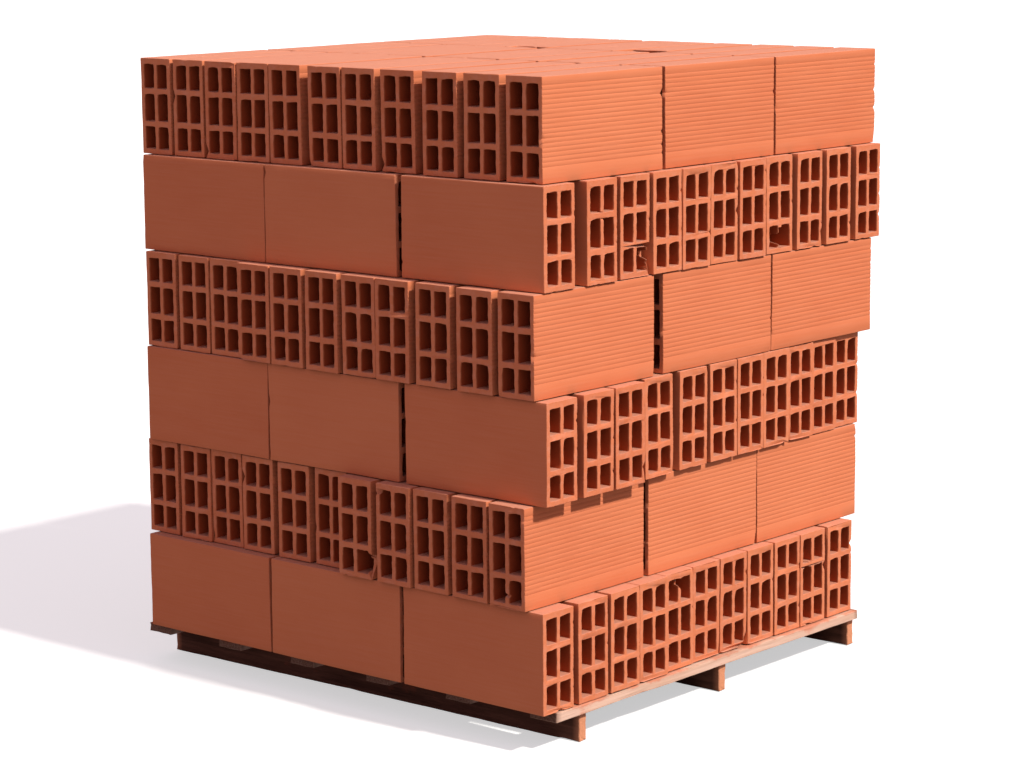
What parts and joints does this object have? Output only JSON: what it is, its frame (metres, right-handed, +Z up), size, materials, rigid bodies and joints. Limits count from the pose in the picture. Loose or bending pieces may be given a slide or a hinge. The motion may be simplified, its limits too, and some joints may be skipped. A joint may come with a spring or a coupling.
{
  "type": "pallet of bricks",
  "caption": "Low wooden pallet loaded with crossed courses of hollow clay bricks, which stand on edge with their open cells facing outwards.",
  "frame": {"origin": "on the floor, under the middle of the load's outline in plan", "axes": "+Z up, -Y the front, which shows open brick ends in the top course, +X the right-hand side"},
  "size_m": [1.023, 1.042, 1.151],
  "materials": {
    "brick_clay": "matt fired clay, sawn and scored by the die",
    "deck_wood": "rough sawn pale softwood",
    "bearer_wood": "rough sawn softwood, stained by clay dust"
  },
  "bodies": {
    "root": {"bearer_back": "bearer_wood", "bearer_front": "bearer_wood", "bearer_middle": "bearer_wood", "course_1": "brick_clay", "course_2": "brick_clay", "course_3": "brick_clay", "course_4": "brick_clay", "course_5": "brick_clay", "course_6": "brick_clay", "deck_board_1": "deck_wood", "deck_board_2": "deck_wood", "deck_board_3": "deck_wood", "deck_board_4": "deck_wood", "deck_board_5": "deck_wood", "deck_board_6": "deck_wood", "hidden_bricks": "brick_clay"}
  },
  "joints": []
}
